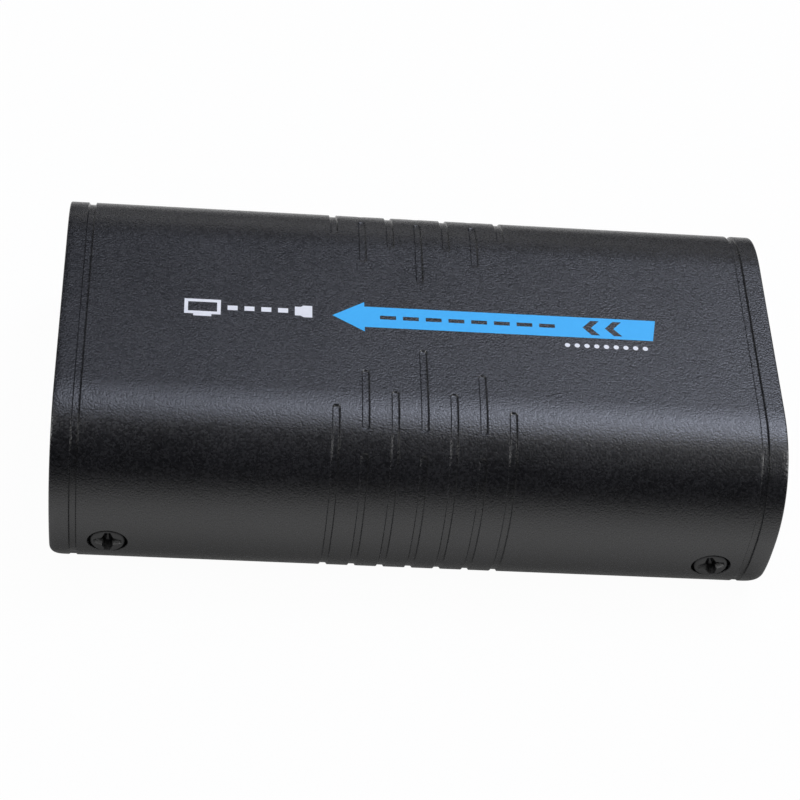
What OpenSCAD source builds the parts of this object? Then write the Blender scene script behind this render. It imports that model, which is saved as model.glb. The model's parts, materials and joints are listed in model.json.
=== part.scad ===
/* [Casing] */
// Length of the casing, end to end
body_l = 107; // [105:0.5:120]
// Width across the bulged sides
body_w = 57.2; // [57:0.2:66]
// Height from the underside to the flat top
body_h = 27.4; // [26:0.2:34]
// Height of the widest level, as a share of the whole height
widest_share = 0.409; // [0.37:0.001:0.43]
// Width of the flat on top
flat_w = 28; // [27:0.5:32]
// Fullness of the shoulder curve, where 2 is an ellipse
bulge_power = 2.43; // [2.2:0.01:2.8]
// Thickness of the shell wall
wall = 2.2; // [2:0.1:2.4]
// Thickness of the shell at its two open rims
rim_t = 1.6; // [1.4:0.1:1.7]
// Rounding of the lower corners at both ends
corner_r = 2.4; // [1:0.1:3]
// Thickness of the bottom cover
plate_t = 2; // [1.8:0.1:2.4]

/* [Grooves] */
// Number of grip grooves across the middle
groove_n = 7; // [3:2:7]
// Spacing of the grip grooves
groove_pitch = 4.3; // [3:0.1:6]
// Width of every groove
groove_w = 1.1; // [0.8:0.1:1.4]
// Depth of the grip grooves
groove_d = 0.4; // [0.2:0.05:0.6]
// Distance of the end grooves from the ends
end_groove_in = 3.4; // [3:0.1:4.5]
// Depth of the end grooves
end_groove_d = 0.45; // [0.2:0.05:0.6]

/* [Case screws] */
// Distance of the side screws from the ends
screw_in = 8.5; // [8:0.1:9.5]
// Height of the side screws above the underside
screw_z = 6.8; // [6.4:0.1:7.6]
// Thread diameter of the side screws
screw_d = 3; // [2.5:0.1:3.2]
// Head diameter of the side screws
head_d = 5.6; // [5:0.1:5.8]
// Head height of the side screws
head_h = 1.9; // [1.6:0.1:2]

/* [End panels] */
// Thickness of both end panels
panel_t = 1.6; // [1.4:0.1:1.8]
// Depth of the panels behind the rims
panel_in = 1; // [0.8:0.1:1.4]

/* [Socket places across the width] */
// Centre of the video socket
video_y = 3.6; // [3.4:0.1:3.8]
// Centre of the power socket
dc_y = -10.6; // [-10.8:0.1:-10]
// Centre of the power light
led_y = 13.6; // [13.4:0.1:13.8]
// Centre of the network socket
network_y = -5.6; // [-6:0.1:-5.4]
// Centre of the infrared sensor socket
ir_y = 7; // [6.9:0.1:7.1]
// Centre of the reset button
reset_y = 13.1; // [13:0.1:13.4]

/* [Circuit board] */
// Thickness of the circuit board
board_t = 1.6; // [1:0.1:2]
// Height of the board's posts, as a share of the room over the cover that the tallest socket leaves
standoff_share = 0.366; // [0.3:0.001:0.5]

/* [Reset button] */
// Diameter of the reset button
button_d = 2.6; // [2.2:0.1:2.8]
// Travel of the reset button
button_travel = 0.3; // [0.2:0.05:0.4]

/* [Printed marks] */
// Length of the printed arrow
arrow_l = 49; // [40:0.5:60]
// Height of the arrow's bar
arrow_bar_h = 4.1; // [3:0.1:5]
// Height of the arrow's head
arrow_head_h = 5.9; // [5.2:0.1:8]
// Depth of the printed layer
print_t = 0.1; // [0.05:0.05:0.2]

/* [Clearances] */
// Gap around parts that slide into place
fit_gap = 0.12; // [0.08:0.02:0.2]
// Gap between parts that nest or screw together
snug_gap = 0.05; // [0.03:0.01:0.08]
// Gap around the moving button
button_gap = 0.35; // [0.3:0.05:0.4]

/* [Hidden] */
$fn = 48;
overrun = 0.5;

// Outline of the casing, looked at from its end
half_w = body_w / 2;
widest_z = body_h * widest_share;
flat_half = flat_w / 2;
bulge_y = half_w - flat_half;
bulge_z = body_h - widest_z;
low_steps = 8;
high_steps = 14;

// Where the outline, set in by some depth, meets a level below the widest one
function low_angle(inset, base) =
    -asin(pow((widest_z - base) / (bulge_z - inset), bulge_power / 2));

// Point of the right-hand curve, its angle counted from the widest level
function curve_point(angle, inset) =
    [flat_half + (bulge_y - inset) * pow(cos(angle), 2 / bulge_power),
     widest_z + (bulge_z - inset) * sign(angle) * pow(abs(sin(angle)), 2 / bulge_power)];

function right_curve(inset, base) =
    let(low = low_angle(inset, base))
    concat([for (i = [low_steps:-1:1]) curve_point(low * i / low_steps, inset)],
           [for (i = [0:high_steps]) curve_point(90 * i / high_steps, inset)]);

// Closed outline from a base level up and over the flat top
function outline(inset, base) =
    let(right = right_curve(inset, base), last = len(right) - 1)
    concat(right, [for (i = [last:-1:0]) [-right[i][0], right[i][1]]]);

// Half width of the outline, set in by some depth, at a level
function half_width(z, inset) =
    flat_half + (bulge_y - inset)
    * pow(1 - pow(abs(z - widest_z) / (bulge_z - inset), bulge_power), 1 / bulge_power);

// How far a point lies along the shoulder, as a share of the curve's reach
function shoulder_share(y) = max(0, (y - flat_half) / bulge_y);

// Height of the outside at a distance from the middle line, above the widest level
function top_z(y) =
    widest_z + bulge_z * pow(1 - pow(shoulder_share(y), bulge_power), 1 / bulge_power);

// Lean of the outside there, in degrees
function top_lean(y) =
    let(u = shoulder_share(y))
    atan(bulge_z / bulge_y * pow(u, bulge_power - 1)
         * pow(1 - pow(u, bulge_power), 1 / bulge_power - 1));

// Where the grip grooves begin and break, as shares of the half width, middle groove first
front_start_shares = [0.22, 0.507, 0.367, 0.601];
rear_start_shares = [0.28, 0.528, 0.42, 0.619];
break_top_share = 0.752;
break_low_share = 0.846;

// Casing levels and places
ceiling_z = body_h - wall;
panel_x = body_l / 2 - panel_in - panel_t;
panel_face_x = panel_x + panel_t;
cover_half = half_width(0, wall) - fit_gap;
seat_w = 1.3;
screw_x = body_l / 2 - screw_in;
boss_l = 9;
boss_up = 4.2;
boss_y = cover_half - seat_w;
head_seat_y = half_width(screw_z, 0) - head_h - snug_gap;
screw_clearance = 0.2;
head_clearance = 0.3;
recess_d = 1.1;
recess_w = 0.9;
recess_l = 3.8;
thread_gap = snug_gap;

// Posts and ribs of the bottom cover, the posts just outside the widest row of sockets
switch_w = 4.8;
row_gap = 0.6;
post_l = 8;
post_up = 3.2;
post_out = boss_y - fit_gap;
post_in = reset_y + switch_w / 2 + row_gap;
screw_tip_gap = 0.3;
screw_l = head_seat_y - post_in - screw_tip_gap;
standoff_d = 6;
lip_share = 0.73;
lip_t = 1.5;
lip_end_gap = 4;
lip_l = 2 * (screw_x - post_l / 2 - lip_end_gap);
foot_rib_t = 1.5;
foot_rib_share = 0.66;
vent_n = 9;
vent_pitch = 4;
vent_w = 1.6;
vent_l = 16;

// Snap tabs of the end panels
tab_l = 4;
tab_w = 5;
tab_t = 1.2;
barb_h = 0.6;
barb_l = 1.2;
pocket_d = 0.8;
tab_gap = 0.2;
top_tab_y = 9;
foot_tab_y = 12;

// Circuit board
network_h = 13.4;
standoff_h = standoff_share * (ceiling_z - plate_t - board_t - network_h);
lip_h = lip_share * standoff_h;
foot_rib_h = foot_rib_share * standoff_h;
board_z = plate_t + standoff_h;
board_top = board_z + board_t;
board_end_gap = 1.1;
board_l = 2 * (panel_x - board_end_gap);
board_side_gap = 0.4;
board_w = 2 * (cover_half - board_side_gap);
board_tongue_w = 2 * (post_in - board_side_gap);
board_wide_l = 2 * (screw_x - boss_l / 2 - board_side_gap);
standoff_shares = [0.342, 0.394];
standoff_x = standoff_shares[0] * board_l;
standoff_y = standoff_shares[1] * board_w;
board_screw_d = 2.5;
board_screw_play = 0.15;
board_head_d = 4.5;
board_head_h = 1.6;
blind_depth = standoff_h + plate_t / 2;
blind_gap = 0.6;
board_screw_l = board_t + blind_depth - blind_gap;

// Sockets stand proud of the panels by this much
socket_proud = 0.3;
socket_x = panel_face_x + socket_proud;
cutout_gap = 0.2;

// Video socket
video_w = 14;
video_h = 4.55;
video_bevel_w = 1.95;
video_bevel_h = 1.7;
video_sheet = 0.35;
video_l = 11.5;
bevel_lean_share = 0.4;
insert_l = 3.5;
tongue_w = 10.9;
tongue_t = 1.1;
tongue_in = 1.3;
tongue_z_share = 0.52;
contact_n = 10;
contact_pitch = 1;
contact_w = 0.35;
contact_t = 0.15;
contact_foot = 0.9;

// Power socket
dc_w = 9;
dc_h = 11;
dc_l = 13.5;
dc_axis_z = 6;
dc_nose_d = 8;
dc_bore_d = 6.2;
dc_bore_l = 9.8;
dc_pin_d = 2;
dc_pin_in = 0.5;
dc_shoulder_d = 2.8;
dc_tail_w = 2;
dc_tail_t = 0.4;
leaf_t = 0.3;
leaf_w = 2.4;
leaf_bite = 0.2;
leaf_in = 3.2;
leaf_end = 0.6;

// Power light
led_d = 3;
led_flange_d = 3.8;
led_flange_t = 1;
led_l = 5.5;
led_axis_z = 3.4;
led_lead = 0.5;
led_lead_gap = 2.54;
led_lead_reach = 2;

// Network socket
network_w = 16;
network_l = 21.3;
network_sheet = 0.25;
plug_w = 11.9;
plug_h = 6.9;
plug_depth = 13;
plug_floor = 1.3;
key_w = 6.3;
key_h = 1.6;
key_tip_w = 3.3;
key_tip_h = 1.2;
window_w = 3.4;
window_h = 2.4;
window_l = 4;
window_z = 10.3;
window_y = 5.3;
wire_n = 8;
wire_pitch = 1.02;
wire_w = 0.45;
wire_t = 0.3;
wire_low = 0.5;
wire_front = 2.7;
wire_back = 9.5;
wire_rise = 3.9;
wire_tail = 15;
wire_slot_w = 0.65;

// Infrared sensor socket
ir_w = 6.4;
ir_h = 5.8;
ir_l = 14.5;
ir_axis_z = 2.9;
ir_nose_d = 5;
ir_bore_d = 3.6;
ir_bore_l = 12.5;
ir_tag_w = 1.6;
ir_tag_t = 0.3;
ir_tag_foot = 0.6;
ir_tag_h = 2.9;
ir_tag_shares = [0.28, 0.9];

// Reset switch
switch_h = 4.4;
switch_l = 3;
switch_sheet = 0.25;
switch_axis_z = switch_h / 2;
switch_back = 9.8;
pocket_in_d = 3.8;
pocket_in_l = 2;
button_in = 0.3;
button_flange_d = 3.4;
button_flange_t = 0.6;
button_nose_d = 1.2;
button_play = 0.09;
dome_t = 0.12;
dome_rest = 0.2;
dome_rise = button_travel + dome_rest;

// Parts on the board: sizes, and places as shares of the stretch between the video socket's back
// and the network socket's back, and of the board's width
free_from = video_l + contact_foot - socket_x;
free_l = socket_x - network_l - free_from;
chip_lift = 0.1;
processor_size = [14, 14, 1.2];
processor_shares = [0.475, 0.02];
pad_size = [13, 13, 0.5];
sink_size = [18, 18, 8];
sink_base = 2;
fin_n = 7;
fin_t = 1.2;
video_chip_size = [10, 10, 1];
video_chip_shares = [0.19, 0.2];
memory_size = [8, 14, 1];
memory_shares = [0.735, 0];
network_chip_size = [7, 7, 1];
network_chip_shares = [0.905, 0.165];
flash_size = [5, 4, 1.5];
flash_shares = [0.645, 0.36];
transformer_size = [7.1, 12.7, 5.6];
transformer_shares = [0.905, -0.15];
crystal_size = [11, 4.6, 3.5];
crystal_shares = [[0.437, 0.38], [0.741, -0.36]];
can_d = 6.3;
can_h = 7.7;
can_neck = 0.35;
can_neck_z = 1.6;
can_shares = [[0.105, -0.236], [0.105, -0.056], [0.868, 0.39]];
inductor_size = [6, 6, 4];
inductor_core_d = 4.4;
inductor_core_h = 0.4;
inductor_shares = [0.23, -0.18];
regulator_size = [6.5, 3.5, 1.6];
regulator_shares = [[0.256, -0.38], [0.423, -0.38], [0.562, -0.38]];
small_size = [1.6, 0.8, 0.5];
small_row_shares = [0.368, 0.618];
small_row_n = 7;
small_row_y_share = -0.285;
small_top_row_shares = [0.368, 0.57];
small_top_row_n = 5;
small_top_row_y_share = 0.3;
lead_h = 0.6;
lead_t = 0.15;
lead_w = 0.3;
lead_bend = 0.3;
lead_reach = 1;
lead_row_share = 0.9;
video_chip_side_n = 10;
network_chip_side_n = 8;
memory_side_n = 10;
flash_side_n = 4;

// Printed marks: outlines as shares of the arrow's length and heights
arrow_tip_share = 0.273;
arrow_tip = -arrow_tip_share * arrow_l;
arrow_neck_share = 0.098;
arrow_slant_share = 0.014;
mark_n = 8;
mark_w = 2.4;
mark_h = 0.75;
mark_first_share = 0.17;
mark_last_share = 0.66;
chevron_n = 2;
chevron_w = 1.3;
chevron_h = 2.9;
chevron_reach = 1.3;
chevron_share = 0.77;
chevron_pitch = 3.4;
screen_w = 5.4;
screen_h = 3.5;
screen_line = 0.55;
screen_rise_share = 0.13;
signal_n = 4;
signal_w = 1.5;
signal_gap = 1;
signal_h = 0.9;
plug_mark_w = 2.6;
white_gap = 3;
signals_w = signal_gap + signal_n * (signal_w + signal_gap);
screen_x = arrow_tip - white_gap - plug_mark_w - signals_w - screen_w / 2;
dot_n = 9;
dot_d = 0.8;
dot_drop = 1.64;
dot_shares = [0.718, 0.959];

// Turns a shape drawn across the casing's width so that it runs along its length
module along_x(length) {
    rotate([90, 0, 90]) linear_extrude(length, center = true) children();
}

module block(size) {
    translate([-size[0] / 2, -size[1] / 2, 0]) cube(size);
}

module both_sides() {
    for (side = [0, 1]) mirror([0, side, 0]) children();
}

module four_corners(x, y) {
    for (end = [-1, 1]) for (side = [-1, 1]) translate([end * x, side * y, 0]) children();
}

// Places what is drawn facing +X, its mouth at zero, in the video end or the network end
module at_video_end() {
    mirror([1, 0, 0]) translate([socket_x, 0, 0]) children();
}

module at_network_end() {
    translate([socket_x, 0, 0]) children();
}

// Cylinder from the mouth inwards, between two depths
module rod(diameter, from, to) {
    translate([-to, 0, 0]) rotate([0, 90, 0]) cylinder(d = diameter, h = to - from);
}

// Sharp lower end corners, cut round
module end_corner_cuts() {
    for (end = [0, 1]) mirror([end, 0, 0]) difference() {
        translate([body_l / 2 - corner_r, -half_w, -overrun])
            cube([corner_r + overrun, body_w, corner_r + overrun]);
        translate([body_l / 2 - corner_r, 0, corner_r])
            rotate([90, 0, 0]) cylinder(r = corner_r, h = body_w + 2 * overrun, center = true);
    }
}

// A slice of the outside skin, from one distance off the middle line to another
module skin_slice(depth, from_y, to_y) {
    along_x(groove_w) intersection() {
        difference() {
            polygon(outline(-overrun, -overrun));
            polygon(outline(depth, -2 * overrun));
        }
        translate([from_y, -overrun]) square([to_y - from_y, body_h + 2 * overrun]);
    }
}

// Round end of a grip groove
module groove_end(y) {
    translate([0, y, top_z(y)]) rotate([-top_lean(y), 0, 0])
        translate([0, 0, -groove_d]) cylinder(d = groove_w, h = groove_d + overrun);
}

module grip_grooves() {
    reach = (groove_n - 1) / 2;
    edge = half_w + overrun;
    for (side = [0, 1]) mirror([0, side, 0]) for (i = [-reach:reach]) {
        shares = side == 1 ? front_start_shares : rear_start_shares;
        start = half_w * shares[abs(i)];
        translate([i * groove_pitch, 0, 0]) {
            groove_end(start);
            if (abs(i) % 2 == 1) {
                skin_slice(groove_d, start, edge);
            } else {
                skin_slice(groove_d, start, half_w * break_top_share);
                groove_end(half_w * break_top_share);
                groove_end(half_w * break_low_share);
                skin_slice(groove_d, half_w * break_low_share, edge);
            }
        }
    }
}

module end_grooves() {
    for (end = [-1, 1]) translate([end * (body_l / 2 - end_groove_in), 0, 0])
        skin_slice(end_groove_d, -half_w - overrun, half_w + overrun);
}

// Cylinder across the width at a side screw, between two distances from the middle line
module screw_rod(diameter, from_y, to_y) {
    for (end = [-1, 1]) both_sides() translate([end * screw_x, from_y, screw_z])
        rotate([-90, 0, 0]) cylinder(d = diameter, h = to_y - from_y);
}

module screw_bosses() {
    intersection() {
        along_x(body_l) polygon(outline(wall / 2, 0));
        for (end = [-1, 1]) both_sides()
            translate([end * screw_x - boss_l / 2, boss_y, plate_t])
                cube([boss_l, half_w - boss_y, screw_z + boss_up - plate_t]);
    }
}

// Pockets that the barbs of the end panels click into
module snap_pockets(tab_y, z) {
    four_corners(panel_x - tab_l + barb_l / 2, tab_y)
        translate([0, 0, z]) block([barb_l + 2 * tab_gap, tab_w + 2 * tab_gap, pocket_d + overrun]);
}

module top_shell() {
    color("#2c2c30") difference() {
        union() {
            difference() {
                along_x(body_l) polygon(outline(0, 0));
                along_x(body_l + 2 * overrun) polygon(outline(wall, -overrun));
            }
            screw_bosses();
        }
        for (end = [0, 1]) mirror([end, 0, 0])
            translate([panel_x + (panel_t + panel_in + overrun) / 2, 0, 0])
                along_x(panel_t + panel_in + overrun) polygon(outline(rim_t, -overrun));
        end_corner_cuts();
        grip_grooves();
        end_grooves();
        screw_rod(screw_d + 2 * screw_clearance, boss_y - overrun, half_w);
        screw_rod(head_d + 2 * head_clearance, head_seat_y, half_w + overrun);
        snap_pockets(top_tab_y, ceiling_z - overrun);
        translate([0, 0, body_h - print_t]) linear_extrude(print_t + overrun) {
            arrow_outline();
            white_outline();
        }
    }
}

module bottom_cover() {
    cover_l = 2 * panel_face_x;
    color("#26262a") difference() {
        union() {
            block([cover_l, 2 * cover_half, plate_t]);
            four_corners(screw_x, (post_in + post_out) / 2)
                block([post_l, post_out - post_in, screw_z + post_up]);
            four_corners(standoff_x, standoff_y) cylinder(d = standoff_d, h = board_z);
            for (side = [-1, 1]) translate([0, side * (cover_half - lip_t), 0])
                block([lip_l, lip_t, plate_t + lip_h]);
            for (end = [-1, 1]) translate([end * (panel_x - snug_gap - foot_rib_t / 2), 0, 0])
                block([foot_rib_t, 2 * post_in, plate_t + foot_rib_h]);
        }
        end_corner_cuts();
        screw_rod(screw_d + 2 * thread_gap, post_in - overrun, post_out + overrun);
        four_corners(standoff_x, standoff_y) translate([0, 0, board_z - blind_depth])
            cylinder(d = board_screw_d + 2 * thread_gap, h = blind_depth + overrun);
        snap_pockets(foot_tab_y, plate_t - pocket_d);
        four_corners(panel_x - snug_gap - foot_rib_t / 2, foot_tab_y)
            translate([0, 0, plate_t]) block([2 * foot_rib_t, tab_w + 2 * tab_gap, foot_rib_h + overrun]);
        for (i = [0:vent_n - 1]) translate([(i - (vent_n - 1) / 2) * vent_pitch, 0, -overrun])
            linear_extrude(plate_t + 2 * overrun) {
                square([vent_w, vent_l - vent_w], center = true);
                for (end = [-1, 1]) translate([0, end * (vent_l - vent_w) / 2]) circle(d = vent_w);
            }
    }
}

// Plate that closes an end, drawn facing +X, with its four snap tabs
module end_panel() {
    low_z = plate_t + fit_gap;
    plate_half = cover_half + fit_gap;
    difference() {
        translate([panel_x + panel_t / 2, 0, 0])
            along_x(panel_t) difference() {
                polygon(outline(rim_t + fit_gap, 0));
                translate([-plate_half, -overrun]) square([2 * plate_half, low_z + overrun]);
            }
        end_corner_cuts();
    }
    both_sides() {
        translate([panel_x, top_tab_y, ceiling_z - fit_gap]) mirror([0, 0, 1]) snap_tab();
        translate([panel_x, foot_tab_y, low_z]) snap_tab();
    }
}

// Springy tab with a barb below it, pointing towards -X
module snap_tab() {
    translate([0, tab_w / 2, 0]) rotate([90, 0, 0]) linear_extrude(tab_w)
        polygon([[overrun, 0], [overrun, tab_t], [-tab_l, tab_t], [-tab_l, 0],
                 [barb_l / 2 - tab_l, -barb_h], [barb_l - tab_l, -barb_h], [barb_l - tab_l, 0]]);
}

module video_end_panel() {
    color("#202023") difference() {
        mirror([1, 0, 0]) end_panel();
        at_video_end() {
            translate([0, video_y, board_top + video_sheet])
                along_x(2 * (panel_t + panel_in + socket_proud)) video_mouth(video_sheet + cutout_gap);
            translate([0, dc_y, board_top + dc_axis_z])
                rod(dc_nose_d + 2 * cutout_gap, -overrun, panel_t + socket_proud + overrun);
            translate([0, led_y, board_top + led_axis_z])
                rod(led_d + 2 * cutout_gap, -overrun, panel_t + socket_proud + overrun);
        }
    }
}

module network_end_panel() {
    cut_l = 2 * (panel_t + socket_proud + overrun);
    color("#202023") difference() {
        end_panel();
        at_network_end() {
            translate([0, network_y, board_top - cutout_gap])
                block([cut_l, network_w + 2 * cutout_gap, network_h + 2 * cutout_gap]);
            translate([0, ir_y, board_top + ir_axis_z])
                rod(ir_nose_d + 2 * cutout_gap, -overrun, cut_l / 2);
            translate([0, reset_y, board_top + switch_axis_z])
                rod(button_d + 2 * button_gap, -overrun, cut_l / 2);
        }
    }
}

// Pan-head screw standing on its tip, its head's underside at zero
module pan_screw(thread_d, length, across, height, recess) {
    crown = height / 4;
    difference() {
        union() {
            translate([0, 0, -length]) cylinder(d = thread_d, h = length);
            cylinder(d = across, h = height - crown);
            translate([0, 0, height - crown])
                cylinder(d1 = across, d2 = across - 2 * crown, h = crown);
        }
        for (turn = [0, 90]) rotate([0, 0, turn]) translate([0, 0, height - recess_d])
            block([recess, recess_w, recess_d + overrun]);
    }
}

module case_screws() {
    turns = [[0, 15], [20, 75]];
    color("#1b1b1d") for (end = [0, 1]) for (side = [0, 1])
        translate([(2 * end - 1) * screw_x, (2 * side - 1) * head_seat_y, screw_z])
            rotate([side == 1 ? -90 : 90, 0, 0]) rotate([0, 0, turns[side][end]])
                pan_screw(screw_d, screw_l, head_d, head_h, recess_l);
}

module board_screws() {
    color("silver") four_corners(standoff_x, standoff_y) translate([0, 0, board_top])
        pan_screw(board_screw_d, board_screw_l, board_head_d, board_head_h, board_screw_d);
}

// Arrow that points towards the video end, with its dark marks left open
module arrow_outline() {
    neck = arrow_tip + arrow_neck_share * arrow_l;
    end = arrow_tip + arrow_l;
    slant = arrow_slant_share * arrow_l;
    difference() {
        polygon([[arrow_tip, 0], [neck, arrow_head_h / 2], [neck, arrow_bar_h / 2], [end, arrow_bar_h / 2],
                 [end - slant, -arrow_bar_h / 2], [neck, -arrow_bar_h / 2], [neck, -arrow_head_h / 2]]);
        for (i = [0:mark_n - 1])
            translate([arrow_tip + arrow_l * (mark_first_share
                       + (mark_last_share - mark_first_share) * i / (mark_n - 1)), 0])
                square([mark_w, mark_h], center = true);
        for (i = [0:chevron_n - 1])
            translate([arrow_tip + arrow_l * chevron_share + i * chevron_pitch, 0])
                polygon([[0, 0], [chevron_reach, chevron_h / 2], [chevron_reach + chevron_w, chevron_h / 2],
                         [chevron_w, 0], [chevron_reach + chevron_w, -chevron_h / 2],
                         [chevron_reach, -chevron_h / 2]]);
    }
}

// A screen on its foot, a row of signal bars, a plug, and a dotted line
module white_outline() {
    translate([screen_x, screen_rise_share * screen_h]) {
        difference() {
            square([screen_w, screen_h - screen_line], center = true);
            square([screen_w - 2 * screen_line, screen_h - 3 * screen_line], center = true);
        }
        translate([0, -screen_h / 2 + screen_line / 4]) square([screen_w / 2, screen_line], center = true);
        for (i = [0:signal_n - 1])
            translate([screen_w / 2 + signal_gap + i * (signal_w + signal_gap), -signal_h / 2])
                square([signal_w, signal_h]);
        translate([screen_w / 2 + signals_w, 0])
            polygon([[0, -screen_h / 4], [plug_mark_w / 3, -screen_h / 4],
                     [plug_mark_w / 2, -screen_h / 3], [plug_mark_w, -screen_h / 3],
                     [plug_mark_w, screen_h / 3], [plug_mark_w / 2, screen_h / 3],
                     [plug_mark_w / 3, screen_h / 4], [0, screen_h / 4]]);
    }
    for (i = [0:dot_n - 1]) {
        along = dot_shares[0] + (dot_shares[1] - dot_shares[0]) * i / (dot_n - 1);
        translate([arrow_tip + along * arrow_l, -arrow_bar_h / 2 - dot_drop]) circle(d = dot_d);
    }
}

module arrow_print() {
    color("#4bb4f8") translate([0, 0, body_h - print_t]) linear_extrude(print_t) arrow_outline();
}

module white_print() {
    color("#e8e8f0") translate([0, 0, body_h - print_t]) linear_extrude(print_t) white_outline();
}

module main_board() {
    color("#1d6b3a") difference() {
        translate([0, 0, board_z]) {
            block([board_l, board_tongue_w, board_t]);
            block([board_wide_l, board_w, board_t]);
        }
        four_corners(standoff_x, standoff_y) translate([0, 0, board_z - overrun])
            cylinder(d = board_screw_d + 2 * board_screw_play, h = board_t + 2 * overrun);
    }
}

// Mouth of the video socket, wide side up, grown by a margin; its floor is at zero
module video_mouth(grow) {
    lean = bevel_lean_share * grow;
    polygon([[video_w / 2 + grow, video_h + grow], [-video_w / 2 - grow, video_h + grow],
             [-video_w / 2 - grow, video_bevel_h - lean], [video_bevel_w - video_w / 2 - lean, -grow],
             [video_w / 2 - video_bevel_w + lean, -grow], [video_w / 2 + grow, video_bevel_h - lean]]);
}

module at_video_socket() {
    at_video_end() translate([0, video_y, board_top + video_sheet]) children();
}

module video_socket_shell() {
    color("#c9ccd0") at_video_socket() translate([-video_l / 2, 0, 0]) difference() {
        along_x(video_l) video_mouth(video_sheet);
        along_x(video_l + 2 * overrun) video_mouth(0);
    }
}

// Contact blades on both faces of the tongue, their tails down behind the insert to the board
module video_blades(grow) {
    middle = video_h * tongue_z_share;
    back = video_l + fit_gap;
    for (row = [0, 1]) {
        count = contact_n - row;
        z = middle + (row == 0 ? tongue_t / 2 : -tongue_t / 2 - contact_t);
        for (i = [0:count - 1]) translate([0, (i - (count - 1) / 2) * contact_pitch, 0]) {
            translate([-back - contact_t, -contact_w / 2 - grow, z - grow])
                cube([back + contact_t - tongue_in - 2 * fit_gap + grow,
                      contact_w + 2 * grow, contact_t + 2 * grow]);
            if (grow == 0) {
                translate([-back - contact_t, -contact_w / 2, -video_sheet])
                    cube([contact_t, contact_w, z + video_sheet]);
                translate([-back - contact_foot, -contact_w / 2, -video_sheet])
                    cube([contact_foot, contact_w, contact_t]);
            }
        }
    }
}

module video_socket_insert() {
    tongue_l = video_l - insert_l - tongue_in;
    color("#17171a") at_video_socket() difference() {
        union() {
            translate([insert_l / 2 - video_l, 0, 0]) along_x(insert_l) video_mouth(-snug_gap);
            translate([insert_l + tongue_l / 2 - video_l, 0, video_h * tongue_z_share - tongue_t / 2])
                block([tongue_l + 2 * snug_gap, tongue_w, tongue_t]);
        }
        video_blades(snug_gap / 2);
    }
}

module video_socket_contacts() {
    color("#d8b04a") at_video_socket() video_blades(0);
}

module at_dc_socket() {
    at_video_end() translate([0, dc_y, board_top + dc_axis_z]) children();
}

module dc_jack_housing() {
    block_l = dc_l - panel_t - socket_proud - snug_gap;
    leaf_slot_w = leaf_w + 2 * snug_gap;
    color("#151517") at_dc_socket() difference() {
        union() {
            translate([block_l / 2 - dc_l, 0, -dc_axis_z]) block([block_l, dc_w, dc_h]);
            rod(dc_nose_d, 0, dc_l - block_l / 2);
        }
        rod(dc_bore_d, -overrun, dc_bore_l);
        rod(dc_shoulder_d + 2 * snug_gap, dc_bore_l - overrun, dc_l + overrun);
        translate([-dc_l + leaf_end - snug_gap, -leaf_slot_w / 2, -dc_bore_d / 2 - leaf_t])
            cube([dc_l - leaf_in - leaf_end + 2 * snug_gap, leaf_slot_w, leaf_t + leaf_bite + dc_bore_d / 4]);
        translate([-dc_l + leaf_end - snug_gap, -leaf_slot_w / 2, -dc_axis_z - overrun])
            cube([leaf_t + 2 * snug_gap, leaf_slot_w, dc_axis_z - dc_bore_d / 2 + 2 * overrun]);
    }
}

module dc_jack_pin() {
    pin_r = dc_pin_d / 2;
    color("#cfd2d6") at_dc_socket() {
        translate([-dc_pin_in - pin_r, 0, 0]) sphere(r = pin_r);
        rod(dc_pin_d, dc_pin_in + pin_r, dc_bore_l);
        rod(dc_shoulder_d, dc_bore_l, dc_l + dc_tail_t);
        translate([-dc_l - dc_tail_t, -dc_tail_w / 2, -dc_axis_z])
            cube([dc_tail_t - snug_gap, dc_tail_w, dc_axis_z]);
    }
}

module dc_jack_spring() {
    leaf_z = -dc_bore_d / 2 - leaf_t + leaf_bite;
    color("#cfd2d6") at_dc_socket() {
        translate([-dc_l + leaf_end, -leaf_w / 2, leaf_z])
            cube([dc_l - leaf_in - leaf_end, leaf_w, leaf_t]);
        translate([-dc_l + leaf_end, -leaf_w / 2, -dc_axis_z])
            cube([leaf_t, leaf_w, dc_axis_z + leaf_z + leaf_t]);
    }
}

module at_power_led() {
    at_video_end() translate([0, led_y, board_top + led_axis_z]) children();
}

module power_led() {
    color("#7fd08a") at_power_led() {
        translate([-led_d / 2, 0, 0]) sphere(d = led_d);
        rod(led_d, led_d / 2, led_l);
        rod(led_flange_d, led_l - led_flange_t, led_l);
    }
}

module power_led_leads() {
    color("#cfd2d6") at_power_led() for (side = [-1, 1])
        translate([0, side * led_lead_gap / 2 - led_lead / 2, 0]) {
            translate([-led_l - led_lead_reach, 0, -led_lead / 2])
                cube([led_lead_reach, led_lead, led_lead]);
            translate([-led_l - led_lead_reach, 0, -led_axis_z])
                cube([led_lead, led_lead, led_axis_z]);
        }
}

module at_network_socket() {
    at_network_end() translate([0, network_y, board_top]) children();
}

module network_socket_shield() {
    inner_l = network_l - network_sheet;
    color("#c3c6cb") at_network_socket() difference() {
        translate([-network_l / 2, 0, 0]) block([network_l, network_w, network_h]);
        translate([overrun / 2 - inner_l / 2, 0, -overrun])
            block([inner_l + overrun, network_w - 2 * network_sheet, network_h - network_sheet + overrun]);
    }
}

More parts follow.
